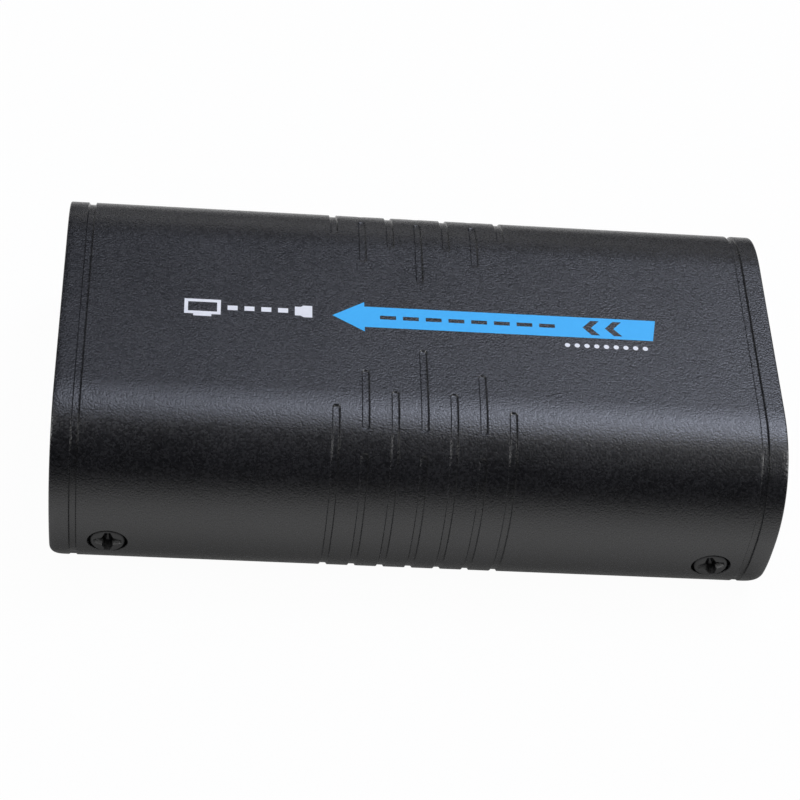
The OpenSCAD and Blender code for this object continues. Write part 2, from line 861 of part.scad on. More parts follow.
// Bent contact wires, each a flat strip that springs back over itself
module network_wires(width, grow) {
    for (i = [0:wire_n - 1]) translate([0, (i - (wire_n - 1) / 2) * wire_pitch + width / 2, 0])
        rotate([90, 0, 0]) linear_extrude(width)
            polygon([[-wire_tail - wire_t - grow, 0 - grow], [-wire_tail + grow, 0 - grow],
                     [-wire_tail + grow, wire_low - grow], [-wire_front + grow, wire_low - grow],
                     [-wire_front + grow, wire_low + wire_t + grow],
                     [-wire_back, wire_rise + grow], [-wire_back - wire_t / 2, wire_rise - wire_t],
                     [-wire_front - 2 * wire_t, wire_low + wire_t + grow],
                     [-wire_tail - wire_t - grow, wire_low + wire_t + grow]]);
}

module network_socket_housing() {
    body = [network_l - network_sheet - 4 * snug_gap, network_w - 2 * (network_sheet + snug_gap),
            network_h - network_sheet - snug_gap];
    cut_l = plug_depth + overrun;
    key_z = plug_floor + plug_h - overrun;
    color("#18181b") at_network_socket() difference() {
        translate([-2 * snug_gap - body[0] / 2, 0, 0]) block(body);
        translate([overrun - cut_l / 2, 0, 0]) {
            translate([0, 0, plug_floor]) block([cut_l, plug_w, plug_h]);
            translate([0, 0, key_z]) block([cut_l, key_w, key_h + overrun]);
            translate([0, 0, key_z]) block([cut_l, key_tip_w, key_h + key_tip_h + overrun]);
        }
        for (side = [-1, 1]) translate([-window_l / 2, side * window_y, window_z])
            block([window_l, window_w, window_h]);
        network_wires(wire_slot_w, snug_gap);
        for (i = [0:wire_n - 1])
            translate([-wire_back, (i - (wire_n - 1) / 2) * wire_pitch - wire_slot_w / 2, wire_low])
                cube([wire_back - wire_front, wire_slot_w, plug_floor]);
    }
}

module network_socket_contacts() {
    color("#d8b04a") at_network_socket() network_wires(wire_w, 0);
}

module link_leds() {
    color("#d9e6c8") at_network_socket() for (side = [-1, 1])
        translate([-window_l / 2 - snug_gap, side * window_y, window_z + snug_gap])
            block([window_l - 2 * snug_gap, window_w - 2 * snug_gap, window_h - 2 * snug_gap]);
}

module at_ir_socket() {
    at_network_end() translate([0, ir_y, board_top + ir_axis_z]) children();
}

module ir_jack_housing() {
    block_l = ir_l - panel_t - socket_proud - snug_gap;
    color("#151517") at_ir_socket() difference() {
        union() {
            translate([block_l / 2 - ir_l, 0, -ir_axis_z]) block([block_l, ir_w, ir_h]);
            rod(ir_nose_d, 0, ir_l - block_l / 2);
        }
        rod(ir_bore_d, -overrun, ir_bore_l);
    }
}

module ir_jack_contacts() {
    color("#cfd2d6") at_ir_socket() both_sides() for (share = ir_tag_shares) {
        translate([-ir_l * share - ir_tag_w / 2, ir_w / 2, -ir_axis_z])
            cube([ir_tag_w, ir_tag_t, ir_tag_h]);
        translate([-ir_l * share - ir_tag_w / 2, ir_w / 2, -ir_axis_z])
            cube([ir_tag_w, ir_tag_t + ir_tag_foot, ir_tag_t]);
    }
}

module at_reset() {
    at_network_end() translate([0, reset_y, board_top + switch_axis_z]) children();
}

module reset_switch_base() {
    color("#151517") at_reset() difference() {
        translate([switch_l / 2 - switch_back, 0, -switch_axis_z])
            block([switch_l, switch_w - 2 * switch_sheet - 2 * snug_gap, switch_h]);
        rod(pocket_in_d, switch_back - switch_l - overrun, switch_back - switch_l + pocket_in_l);
    }
}

module reset_switch_cover() {
    front = switch_back - switch_l - snug_gap;
    arm_l = switch_l + snug_gap;
    color("#c3c6cb") at_reset() difference() {
        union() {
            translate([switch_sheet / 2 - front, 0, -switch_axis_z])
                block([switch_sheet, switch_w, switch_h]);
            for (side = [-1, 1])
                translate([-front - arm_l / 2, side * (switch_w - switch_sheet) / 2, -switch_axis_z])
                    block([arm_l + 2 * snug_gap, switch_sheet, switch_h]);
        }
        rod(button_d + 2 * button_play, 0, front + overrun);
    }
}

module reset_dome() {
    floor_x = switch_back - switch_l + pocket_in_l;
    reach = pocket_in_d / 2 - snug_gap;
    color("#d5d7da") at_reset() translate([-floor_x, 0, 0]) rotate([0, 90, 0]) rotate_extrude()
        polygon([[0, dome_rise - dome_t], [reach / 2, (dome_rise - dome_t) * 3 / 4], [reach, 0],
                 [reach, dome_t], [reach / 2, dome_t + (dome_rise - dome_t) * 3 / 4], [0, dome_rise]]);
}

// Push button with its collar behind the cover and its nose on the dome
module reset_button() {
    collar = switch_back - switch_l + snug_gap;
    nose_end = switch_back - switch_l + pocket_in_l - dome_rise - snug_gap;
    color("#2a2a2d") at_reset() {
        rod(button_d, socket_proud + button_in, collar + button_flange_t / 2);
        rod(button_flange_d, collar, collar + button_flange_t);
        rod(button_nose_d, collar, nose_end);
    }
}

// Places a part on the board at a pair of shares of the free stretch and of the board's width
module on_board(shares) {
    translate([free_from + shares[0] * free_l, shares[1] * board_w, board_top]) children();
}

module chip(size) {
    translate([0, 0, chip_lift]) block(size);
}

// One row of bent leads along the +X edge of a chip
module lead_row(size, count) {
    for (i = [0:count - 1])
        translate([size[0] / 2, ((i + 1 / 2) / count - 1 / 2) * size[1] * lead_row_share + lead_w / 2, 0])
            rotate([90, 0, 0]) linear_extrude(lead_w)
                polygon([[0, lead_h - lead_t], [lead_bend - lead_t, lead_h - lead_t], [lead_bend - lead_t, 0],
                         [lead_reach, 0], [lead_reach, lead_t], [lead_bend, lead_t],
                         [lead_bend, lead_h], [0, lead_h]]);
}

module leads_on_sides(size, count, turns) {
    for (turn = turns) rotate([0, 0, turn])
        lead_row(turn % 180 == 0 ? size : [size[1], size[0], size[2]], count);
}

module video_processor() {
    color("#2b2b2e") on_board(processor_shares) block(processor_size);
}

module thermal_pad() {
    color("#9fb8c9") on_board(processor_shares) translate([0, 0, processor_size[2]]) block(pad_size);
}

module heat_sink() {
    color("#9a9da1") on_board(processor_shares) translate([0, 0, processor_size[2] + pad_size[2]]) {
        block([sink_size[0], sink_size[1], sink_base]);
        for (i = [0:fin_n - 1])
            translate([0, (i / (fin_n - 1) - 1 / 2) * (sink_size[1] - fin_t), 0])
                block([sink_size[0], fin_t, sink_size[2]]);
    }
}

module video_chip() {
    color("#2b2b2e") on_board(video_chip_shares) chip(video_chip_size);
}

module memory_chip() {
    color("#2b2b2e") on_board(memory_shares) chip(memory_size);
}

module network_chip() {
    color("#2b2b2e") on_board(network_chip_shares) chip(network_chip_size);
}

module flash_chip() {
    color("#2b2b2e") on_board(flash_shares) chip(flash_size);
}

module chip_leads() {
    all_round = [0, 90, 180, 270];
    color("silver") {
        on_board(video_chip_shares) leads_on_sides(video_chip_size, video_chip_side_n, all_round);
        on_board(network_chip_shares) leads_on_sides(network_chip_size, network_chip_side_n, all_round);
        on_board(memory_shares) leads_on_sides(memory_size, memory_side_n, [90, 270]);
        on_board(flash_shares) leads_on_sides(flash_size, flash_side_n, [90, 270]);
    }
}

module network_transformer() {
    color("#232326") on_board(transformer_shares) block(transformer_size);
}

module crystals() {
    ends = crystal_size[0] - crystal_size[1];
    color("#c9ccd0") for (shares = crystal_shares) on_board(shares) linear_extrude(crystal_size[2]) {
        square([ends, crystal_size[1]], center = true);
        for (end = [-1, 1]) translate([end * ends / 2, 0]) circle(d = crystal_size[1]);
    }
}

module electrolytic_capacitors() {
    color("#b9bdc3") for (shares = can_shares) on_board(shares) difference() {
        cylinder(d = can_d, h = can_h);
        translate([0, 0, can_neck_z]) rotate_extrude() translate([can_d / 2, 0]) circle(r = can_neck);
    }
}

module power_inductor() {
    color("#3a3a3e") on_board(inductor_shares) {
        block(inductor_size);
        cylinder(d = inductor_core_d, h = inductor_size[2] + inductor_core_h);
    }
}

module voltage_regulators() {
    color("#2b2b2e") for (shares = regulator_shares) on_board(shares) block(regulator_size);
}

module small_components() {
    color("#b08d5a") {
        for (i = [0:small_row_n - 1]) {
            along = small_row_shares[0] + (small_row_shares[1] - small_row_shares[0]) * i / (small_row_n - 1);
            on_board([along, small_row_y_share]) block(small_size);
        }
        for (i = [0:small_top_row_n - 1]) {
            along = small_top_row_shares[0]
                + (small_top_row_shares[1] - small_top_row_shares[0]) * i / (small_top_row_n - 1);
            on_board([along, small_top_row_y_share]) block(small_size);
        }
    }
}

top_shell();
bottom_cover();
video_end_panel();
network_end_panel();
case_screws();
board_screws();
arrow_print();
white_print();
main_board();
video_socket_shell();
video_socket_insert();
video_socket_contacts();
dc_jack_housing();
dc_jack_pin();
dc_jack_spring();
power_led();
power_led_leads();
network_socket_housing();
network_socket_shield();
network_socket_contacts();
link_leds();
ir_jack_housing();
ir_jack_contacts();
reset_button();
reset_switch_base();
reset_switch_cover();
reset_dome();
video_processor();
thermal_pad();
heat_sink();
video_chip();
memory_chip();
network_chip();
flash_chip();
chip_leads();
network_transformer();
crystals();
electrolytic_capacitors();
power_inductor();
voltage_regulators();
small_components();
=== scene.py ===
import json
import math

import bpy
from mathutils import Matrix, Vector

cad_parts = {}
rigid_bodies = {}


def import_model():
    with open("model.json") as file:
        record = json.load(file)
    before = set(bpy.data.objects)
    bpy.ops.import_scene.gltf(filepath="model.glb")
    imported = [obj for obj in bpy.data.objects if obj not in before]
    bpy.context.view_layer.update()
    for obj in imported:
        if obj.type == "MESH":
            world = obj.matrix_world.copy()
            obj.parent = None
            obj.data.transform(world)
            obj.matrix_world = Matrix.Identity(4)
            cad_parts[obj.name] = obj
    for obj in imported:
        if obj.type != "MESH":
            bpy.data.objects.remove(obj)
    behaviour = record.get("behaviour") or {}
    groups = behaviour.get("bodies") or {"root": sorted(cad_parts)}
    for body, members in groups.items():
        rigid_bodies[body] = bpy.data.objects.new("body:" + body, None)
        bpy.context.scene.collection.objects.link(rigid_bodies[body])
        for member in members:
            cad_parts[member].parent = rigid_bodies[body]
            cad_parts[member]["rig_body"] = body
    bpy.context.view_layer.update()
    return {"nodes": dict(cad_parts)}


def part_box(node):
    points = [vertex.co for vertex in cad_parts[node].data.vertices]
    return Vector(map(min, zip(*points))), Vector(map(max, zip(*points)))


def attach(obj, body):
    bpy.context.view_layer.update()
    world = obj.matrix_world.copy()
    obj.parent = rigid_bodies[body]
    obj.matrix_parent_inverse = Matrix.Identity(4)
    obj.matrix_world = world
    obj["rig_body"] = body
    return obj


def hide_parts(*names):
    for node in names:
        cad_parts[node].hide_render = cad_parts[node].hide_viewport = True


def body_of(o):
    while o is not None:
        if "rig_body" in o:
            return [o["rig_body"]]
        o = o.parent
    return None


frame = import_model()

# The view. The camera stands in front of the long side and looks down on the flat top, a little
# turned and tilted, with a long lens, so the box's edges stay nearly parallel.
lens_mm = 106.891
sensor_mm = 36
nearest_seen = 0.01
camera_place = (-0.036388, -0.239914, 0.286852)
camera_turn = (40.7375, -5.8714, -1.5393)
bpy.ops.object.camera_add(location=camera_place, rotation=[math.radians(a) for a in camera_turn])
camera = bpy.context.object
camera.data.lens = lens_mm
camera.data.sensor_width = sensor_mm
camera.data.clip_start = nearest_seen
camera.data.dof.use_dof = False
bpy.context.scene.camera = camera
bpy.context.scene.view_settings.view_transform = "Standard"


# The top shell is one moulding of black plastic with a fine sand texture: a flat top, bulged sides,
# grip grooves pressed into its shoulders, a groove round each end and recesses for the side screws.
mm = 0.001
half_l, half_w, casing_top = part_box("top_shell")[1]
ink_step = 0.02 * mm
top_z = casing_top - ink_step
widest_z = 11.207 * mm
flat_half = 14 * mm
bulge = half_w - flat_half
rise = top_z - widest_z
bulge_power = 2.43
wall = 2.2 * mm
rim_t = 1.6 * mm
panel_in = 2.6 * mm
corner_r = 2.4 * mm
corner_h = 5.0 * mm
end_edge_r = 0.25 * mm
end_edge_run = 0.9 * mm
end_edge_share = 0.648
inner_edge_r = 0.12 * mm
base_edge_r = 0.15 * mm
groove_half = 0.55 * mm
groove_d = 0.25 * mm
groove_pitch = 4.3 * mm
groove_numbers = range(-3, 4)
end_groove_in = 3.4 * mm
end_groove_d = 0.32 * mm
end_groove_least = 0.35
end_groove_fade = 1.5 * mm
groove_wall_out = 0.08 * mm
groove_wall_in = 0.17 * mm
groove_reach = groove_half + groove_wall_out
groove_wall_steps = [-0.16, 0, 0.08, 0.2, 0.38, 0.62, 0.8, 0.92, 1]
start_shares = {-1: [0.232, 0.522, 0.387, 0.622], 1: [0.28, 0.528, 0.42, 0.619]}
break_shares = [0.717, 0.85]
base_levels = [0, 0.02, 0.06, 0.15, 0.3, 0.55, 0.85, 1.2, 1.6, 2.0, 2.4, 2.75]
side_levels = [3.1 + 0.33 * i for i in range(24)]
shoulder_turns = range(0, 90, 2)
flat_places = (14, 12.5, 10, 7.5, 5, 2.5)
groove_end_places = (0.33, 0.22, 0.1, 0)
plain_stations = (-47, -42, -36, -28, -20, 20, 28, 36, 42, 47)
least_step = 0.004 * mm
shell_smooth_degrees = 40


def half_width(level, depth):
    """Half the width at a level of the side, this deep under the skin"""
    share = abs(level - widest_z) / (rise - depth)
    return flat_half + (bulge - depth) * (1 - share ** bulge_power) ** (1 / bulge_power)


def low_point(level, depth):
    """Place on the lower side, by its level, with the edge rounded where it meets the base"""
    edge = base_edge_r - level
    rounded = edge > 0 and depth < rim_t / 2
    rounding = base_edge_r - math.sqrt(base_edge_r ** 2 - edge ** 2) if rounded else 0
    return half_width(level, depth + rounding), level


def high_point(turn, depth):
    """Place on the shoulder, by its turn up from the widest level"""
    return (flat_half + (bulge - depth) * math.cos(turn) ** (2 / bulge_power),
            widest_z + (rise - depth) * math.sin(turn) ** (2 / bulge_power))


def flat_point(y, depth):
    """Place on the flat top, by its distance from the middle line"""
    return y, top_z - depth


def shoulder_row(y):
    """Row of the top or the shoulder at this distance from the middle line"""
    if y < flat_half:
        return flat_point, y
    return high_point, math.acos(((y - flat_half) / bulge) ** (bulge_power / 2))


def lean_share(y):
    """How far y goes for a unit along the skin"""
    if y <= flat_half:
        return 1
    probe = 0.01 * mm
    here, there = high_point(shoulder_row(y)[1], 0), high_point(shoulder_row(y + probe)[1], 0)
    return probe / math.dist(here, there)


def row_order(shape, value):
    y, z = shape(value, 0)
    return z if shape is low_point else 1 + (half_w - y)


# Across a groove's wall, how far its places lie from the groove's middle line
wall_offsets = [groove_reach - (groove_wall_in + groove_wall_out) * step for step in groove_wall_steps]


def side_rows(side):
    """Rows from the base to the middle line, closer together where a groove begins or breaks"""
    rows = [(low_point, level * mm) for level in base_levels + side_levels]
    rows += [(high_point, math.radians(degrees)) for degrees in shoulder_turns]
    rows += [(flat_point, y * mm) for y in flat_places]
    for share in start_shares[side] + break_shares:
        outward = -1 if share != break_shares[0] else 1
        for offset in wall_offsets + [place * mm for place in groove_end_places]:
            rows.append(shoulder_row(share * half_w + outward * offset * lean_share(share * half_w)))
    rows.sort(key=lambda row: row_order(*row))
    return rows


def row_places(side):
    """The rows of a side, each with its distance down the side from the middle line"""
    rows = side_rows(side)
    kept = [rows[0]]
    for row in rows[1:]:
        if math.dist(row[0](row[1], 0), kept[-1][0](kept[-1][1], 0)) > least_step:
            kept.append(row)
    along = []
    reach = 0
    last = (0, top_z)
    for row in reversed(kept):
        here = row[0](row[1], 0)
        reach += math.dist(here, last)
        last = here
        along.append(reach)
    return [(side, row, distance) for row, distance in zip(kept, reversed(along))]


rows = row_places(1) + [(1, (flat_point, 0), 0)] + list(reversed(row_places(-1)))


def distance_down(side, share):
    """Distance down a side to the place that lies this share of the half width from the middle"""
    spots = [(abs(row[0](row[1], 0)[0] - share * half_w), distance) for s, row, distance in rows
             if s == side and row[0] is not low_point]
    return min(spots)[1]


# Every second grip groove runs whole to the base, and the others break off at the shoulder
beyond_base = 1
stretches = []
for side in (-1, 1):
    upper_end, lower_start = [distance_down(side, share) for share in break_shares]
    for i in groove_numbers:
        start = distance_down(side, start_shares[side][abs(i)])
        if i % 2:
            stretches.append((side, i * groove_pitch, start, beyond_base))
        else:
            stretches.append((side, i * groove_pitch, start, upper_end))
            stretches.append((side, i * groove_pitch, lower_start, beyond_base))


def wall_fall(distance):
    """Goes softly from 0 to 1 as the distance from a groove's middle line crosses its wall"""
    share = (groove_reach - distance) / (groove_wall_in + groove_wall_out)
    share = min(max(share, 0), 1)
    return share * share * (3 - 2 * share)


def groove_depth(side, x, along, level):
    across = abs(abs(x) - (half_l - end_groove_in))
    depth = end_groove_d * wall_fall(across) * min(end_groove_least + level / end_groove_fade, 1)
    for groove_side, middle, start, end in stretches:
        if groove_side == side and abs(x - middle) < groove_reach:
            past = max(start - along, 0, along - end)
            depth = max(depth, groove_d * wall_fall(math.hypot(x - middle, past)))
    return depth


# Stations along the casing, each with its depth under the skin and its share of the corner's rounding
outer = []
for middle in [half_l - end_groove_in, -half_l + end_groove_in] + [i * groove_pitch for i in groove_numbers]:
    outer += [(middle + sign * offset, 0, 0) for offset in wall_offsets + [0.25 * mm] for sign in (-1, 1)]
    outer.append((middle, 0, 0))
outer += [(x * mm, 0, 0) for x in plain_stations]
for sign in (-1, 1):
    outer.append((sign * (half_l - end_edge_r - end_edge_run), 0, end_edge_share))
    outer.append((sign * (half_l - end_edge_r), 0, 1))
outer.sort()
rim = []
for degrees in (22.5, 45, 67.5, 90):
    turn = math.radians(degrees)
    rim.append((half_l - end_edge_r * (1 - math.sin(turn)), end_edge_r * (1 - math.cos(turn)), 1))
rim.append((half_l, rim_t - inner_edge_r, 1))
for degrees in (30, 60, 90):
    turn = math.radians(degrees)
    rim.append((half_l - inner_edge_r * (1 - math.cos(turn)), rim_t - inner_edge_r * (1 - math.sin(turn)), 1))
rim += [(half_l - panel_in, rim_t, 0), (half_l - panel_in, wall, 0)]
inner = [(x * mm, wall, 0) for x in (30, 0, -30)]
stations = outer + rim + inner + [(-x, depth, share) for x, depth, share in reversed(rim)] + outer[:1]


def skin_place(station, row):
    x, depth, share = station
    side, (shape, value), along = row
    if depth == 0:
        depth = groove_depth(side, x, along, shape(value, 0)[1])
    y, z = shape(value, depth)
    cut = corner_r * (1 - math.sqrt(1 - (1 - z / corner_h) ** 2)) if z < corner_h else 0
    return Vector((x - math.copysign(cut * share, x), side * y, z))


def deselect():
    bpy.ops.object.select_all(action="DESELECT")


def pick(piece):
    """Makes the piece the only one selected, and the active one"""
    deselect()
    piece.select_set(True)
    bpy.context.view_layer.objects.active = piece


def rename(piece, name):
    piece.name = name
    piece.data.name = name


def face_outwards():
    """Turns all faces of the active piece outwards"""
    bpy.ops.object.mode_set(mode="EDIT")
    bpy.ops.mesh.select_all(action="SELECT")
    bpy.ops.mesh.normals_make_consistent(inside=False)
    bpy.ops.object.mode_set(mode="OBJECT")


deselect()
bpy.ops.mesh.primitive_grid_add(x_subdivisions=len(stations) - 1, y_subdivisions=len(rows) - 1, size=1)
shell = bpy.context.object
rename(shell, "shell")
for vertex in shell.data.vertices:
    column = round((vertex.co.x + 0.5) * (len(stations) - 1))
    line = round((vertex.co.y + 0.5) * (len(rows) - 1))
    vertex.co = skin_place(stations[column], rows[line])
bpy.ops.object.mode_set(mode="EDIT")
bpy.ops.mesh.select_all(action="SELECT")
bpy.ops.mesh.remove_doubles(threshold=0.0005 * mm)
bpy.ops.mesh.select_all(action="DESELECT")
bpy.ops.mesh.select_non_manifold()
bpy.ops.mesh.fill_holes(sides=0)
bpy.ops.object.mode_set(mode="OBJECT")
face_outwards()


def apply_modifier(piece, kind, **settings):
    modifier = piece.modifiers.new(kind.title(), kind)
    for name, value in settings.items():
        setattr(modifier, name, value)
    bpy.context.view_layer.objects.active = piece
    bpy.ops.object.modifier_apply(modifier=modifier.name)


def join(pieces):
    deselect()
    for piece in pieces:
        piece.select_set(True)
    bpy.context.view_layer.objects.active = pieces[0]
    bpy.ops.object.join()
    return pieces[0]


def settle(piece):
    """Puts the piece's place into its mesh"""
    pick(piece)
    bpy.ops.object.transform_apply(location=True, rotation=True, scale=True)


def smooth(piece, degrees):
    pick(piece)
    bpy.ops.object.shade_smooth_by_angle(angle=math.radians(degrees))


def cut(piece, tools, operation="DIFFERENCE"):
    apply_modifier(piece, "BOOLEAN", operation=operation, object=tools, solver="EXACT")
    bpy.data.objects.remove(tools)


# Inside the wall stands a boss behind each side screw, from the wall's middle inwards
corners_of_box = [(end, side) for end in (-1, 1) for side in (-1, 1)]
screw_x = 45 * mm
screw_z = 6.8 * mm
boss_half_l = 4.5 * mm
boss_y = 24.67 * mm
boss_low = 2 * mm
boss_high = 11 * mm
bosses = []
for end, side in corners_of_box:
    bpy.ops.mesh.primitive_cube_add(size=1)
    boss = bpy.context.object
    bpy.ops.object.mode_set(mode="EDIT")
    bpy.ops.mesh.subdivide(number_cuts=6)
    bpy.ops.object.mode_set(mode="OBJECT")
    for vertex in boss.data.vertices:
        z = boss_low + (vertex.co.z + 0.5) * (boss_high - boss_low)
        outer_y = half_width(z, wall / 2)
        y = boss_y + (vertex.co.y + 0.5) * (outer_y - boss_y)
        vertex.co = Vector((end * screw_x + vertex.co.x * 2 * boss_half_l, side * y, z))
    face_outwards()
    bosses.append(boss)
cut(shell, join(bosses), "UNION")

# Each screw has a clear hole and a recess for its head. The recess's lip follows the bulge of the
# skin: how far out of the recess's wall it goes, and how far over the skin.
hole_r = 1.7 * mm
recess_r = 2.9 * mm
recess_floor_y = 26.394 * mm
recess_lip = ((0, -0.17), (0.03, -0.09), (0.17, 0.05), (0.6, 0.4))
cutter_start_y = 24 * mm
cutter_end_y = 30 * mm


def recess_cutter(end, side):
    """Loops of a radius and either a height over the skin or a distance from the middle plane"""
    loops = [(hole_r, None, cutter_start_y), (hole_r, None, recess_floor_y), (recess_r, None, recess_floor_y)]
    loops += [(recess_r + out * mm, over * mm, None) for out, over in recess_lip]
    loops.append((loops[-1][0], None, cutter_end_y))
    bpy.ops.mesh.primitive_circle_add(vertices=72, radius=1, fill_type="NGON")
    cutter = bpy.context.object
    bpy.ops.object.mode_set(mode="EDIT")
    for _ in loops[1:]:
        bpy.ops.mesh.extrude_region_move(TRANSFORM_OT_translate={"value": (0, 0, 1)})
    bpy.ops.object.mode_set(mode="OBJECT")
    for vertex in cutter.data.vertices:
        radius, over_skin, y = loops[round(vertex.co.z)]
        x = screw_x + vertex.co.x * radius
        z = screw_z + vertex.co.y * radius
        if over_skin is not None:
            y = half_width(max(z, 0), 0) + over_skin
        vertex.co = Vector((end * x, side * y, z))
    face_outwards()
    return cutter


cut(shell, join([recess_cutter(end, side) for end, side in corners_of_box]))

# Pockets under the top, one for each upper snap tab of the end panels
pocket_place = (47.5 * mm, 9 * mm, 25.35 * mm)
pocket_size = (1.6 * mm, 5.4 * mm, 1.3 * mm)
pockets = []
for end, side in corners_of_box:
    x, y, z = pocket_place
    bpy.ops.mesh.primitive_cube_add(size=1, location=(end * x, side * y, z), scale=pocket_size)
    settle(bpy.context.object)
    pockets.append(bpy.context.object)
cut(shell, join(pockets))
smooth(shell, shell_smooth_degrees)


class Feed:
    """A shader socket that takes part in sums"""

    def __init__(self, tree, socket):
        self.tree = tree
        self.socket = socket

    def node(self, kind, settings=(), sockets=(), output=0):
        made = self.tree.nodes.new("ShaderNode" + kind)
        for name, value in dict(settings).items():
            setattr(made, name, value)
        for name, value in dict(sockets).items():
            if isinstance(value, Feed):
                self.tree.links.new(value.socket, made.inputs[name])
            else:
                made.inputs[name].default_value = value
        return Feed(self.tree, made.outputs[output] if made.outputs else None)

    def work(self, operation, other=0.0):
        return self.node("Math", {"operation": operation}, {0: self, 1: other})

    def __add__(self, other):
        return self.work("ADD", other)

    def __radd__(self, other):
        return self.work("ADD", other)

    def __sub__(self, other):
        return self.work("SUBTRACT", other)

    def __rsub__(self, other):
        return self.node("Math", {"operation": "SUBTRACT"}, {0: other, 1: self})

    def __mul__(self, other):
        return self.work("MULTIPLY", other)

    def __rmul__(self, other):
        return self.work("MULTIPLY", other)

    def noise(self, size, detail=2.0, roughness=0.5):
        """Noise between 0 and 1 whose grains are about this size, for a feed of coordinates"""
        return self.node("TexNoise", {}, {"Vector": self, "Scale": 1 / size, "Detail": detail,
                                          "Roughness": roughness})

    def part(self, axis):
        return self.node("SeparateXYZ", {}, {"Vector": self}, output=axis)

    def ramp(self, low, high):
        """Rises from 0 to 1 as this feed goes from low to high"""
        return self.node("MapRange", {"clamp": True},
                         {"Value": self, "From Min": low, "From Max": high, "To Min": 0.0, "To Max": 1.0})

    def blend(self, first, second):
        """Colour that goes from the first to the second as this feed goes from 0 to 1"""
        return self.node("Mix", {"data_type": "RGBA"}, {0: self, 6: first, 7: second}, output=2)

    def shade(self, first, second):
        """Shader that goes from the first to the second as this feed goes from 0 to 1"""
        return self.node("MixShader", {}, {0: self, 1: first, 2: second})


def new_finish(name):
    """Material and the feed of its object coordinates"""
    material = bpy.data.materials.new(name)
    material.use_nodes = True
    tree = material.node_tree
    tree.nodes.clear()
    return material, Feed(tree, None).node("TexCoord", output="Object")


def end_finish(place, color, roughness, height, depth, **uniform):
    """Shader and output, with bumps as deep as the height feed goes from 0 to 1"""
    bumps = place.node("Bump", {}, {"Strength": 1.0, "Distance": depth, "Height": height})
    sockets = {"Base Color": color, "Roughness": roughness, "Normal": bumps}
    sockets.update({name.replace("_", " "): value for name, value in uniform.items()})
    shader = place.node("BsdfPrincipled", {}, sockets)
    place.node("OutputMaterial", {}, {"Surface": shader})


def rgb(red, green, blue):
    return (red, green, blue, 1.0)


def wear(piece, material):
    piece.data.materials.clear()
    piece.data.materials.append(material)


def moulded(name, color, pale, roughness, grain, depth):
    """Moulded plastic with a sand texture: each grain a low mound with a gloss of its own"""
    material, place = new_finish(name)
    grains = {"Vector": place, "Scale": 1 / grain, "Randomness": 1.0}
    mound = place.node("TexVoronoi", {}, grains)
    of_its_own = place.node("TexVoronoi", {}, grains, output="Color").part("X")
    cloud = place.noise(14 * mm)
    fine = place.noise(grain * 0.5, detail=1.0)
    tint = (of_its_own * 0.7 + cloud.ramp(0.3, 0.7) * 0.3).blend(color, pale)
    gloss = roughness - 0.06 + of_its_own * 0.12 + cloud * 0.04
    end_finish(place, tint, gloss, fine * 0.25 - mound, depth)
    return material


shell_black = moulded("shell_black", rgb(0.006, 0.006, 0.007), rgb(0.022, 0.022, 0.0245),
                      roughness=0.24, grain=0.28 * mm, depth=0.035 * mm)
wear(shell, shell_black)
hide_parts("top_shell")
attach(shell, "casing")


# The printed marks are ink pads laid on the flat top: a blue arrow with dark bars and chevrons inside
# it, and white marks beside it. Their solids stand a hair above the sand texture, which shows through.
def ink(name, color, dull):
    material, place = new_finish(name)
    sand = place.noise(0.36 * mm, roughness=0.6) * 0.7 + place.noise(0.16 * mm, detail=1.0) * 0.3
    thin = place.noise(1.4 * mm, detail=3.0, roughness=0.6).ramp(0.3, 0.75)
    tint = (thin * 0.35 + sand.ramp(0.3, 0.7) * 0.4).blend(color, dull)
    end_finish(place, tint, 0.42 + sand * 0.12, sand, depth=0.012 * mm)
    return material


def dress(node, material):
    wear(frame["nodes"][node], material)


dress("arrow_print", ink("print_blue", rgb(0.026, 0.455, 0.93), rgb(0.018, 0.415, 0.88)))
dress("white_print", ink("print_white", rgb(0.86, 0.86, 0.88), rgb(0.76, 0.76, 0.79)))


# The case screws are black machine screws with low rounded heads and cross recesses. They clamp the
# shell to the posts of the bottom cover, each head seated in its recess in the shell's side.
head_r = 2.62 * mm
head_h = 1.9 * mm
head_edge = 0.1 * mm
thread_r = 1.5 * mm
thread_l = 9.99 * mm
thread_tip_in = 0.3 * mm
thread_tip_l = 0.35 * mm
dome = ((2.62, 0.62), (2.58, 0.42), (2.5, 0.25), (2.37, 0.12), (2.18, 0.04), (1.85, 0))
cross_reach = 1.95 * mm
cross_tip = 0.4 * mm
cross_root = 0.8 * mm
cross_depth = 1.35 * mm
cross_shares = ((1.25, 0.3), (1.25, 0.05), (1.04, -0.03), (1, -0.12))
cross_floor_share = 0.62
cross_point_share = 0.2
cross_point_l = 0.35 * mm
case_screw_turns = {(-1, -1): 0, (-1, 1): 15, (1, -1): 20, (1, 1): 75}


def draw_up(loops):
    """Draws the active disc up through loops of a size and a height, and turns its faces outwards"""
    bpy.ops.object.mode_set(mode="EDIT")
    bpy.ops.mesh.select_all(action="SELECT")
    for (size, height), (next_size, next_height) in zip(loops, loops[1:]):
        bpy.ops.mesh.extrude_region_move(TRANSFORM_OT_translate={"value": (0, 0, next_height - height)})
        ratio = next_size / size
        bpy.ops.transform.resize(value=(ratio, ratio, 1), center_override=(0, 0, next_height))
    bpy.ops.object.mode_set(mode="OBJECT")
    face_outwards()


def turned(name, loops):
    """Solid turned round Z, by loops of a radius and a height"""
    deselect()
    radius, height = loops[0]
    bpy.ops.mesh.primitive_circle_add(vertices=72, radius=radius, fill_type="NGON", location=(0, 0, height))
    piece = bpy.context.object
    rename(piece, name)
    settle(piece)
    draw_up(loops)
    return piece


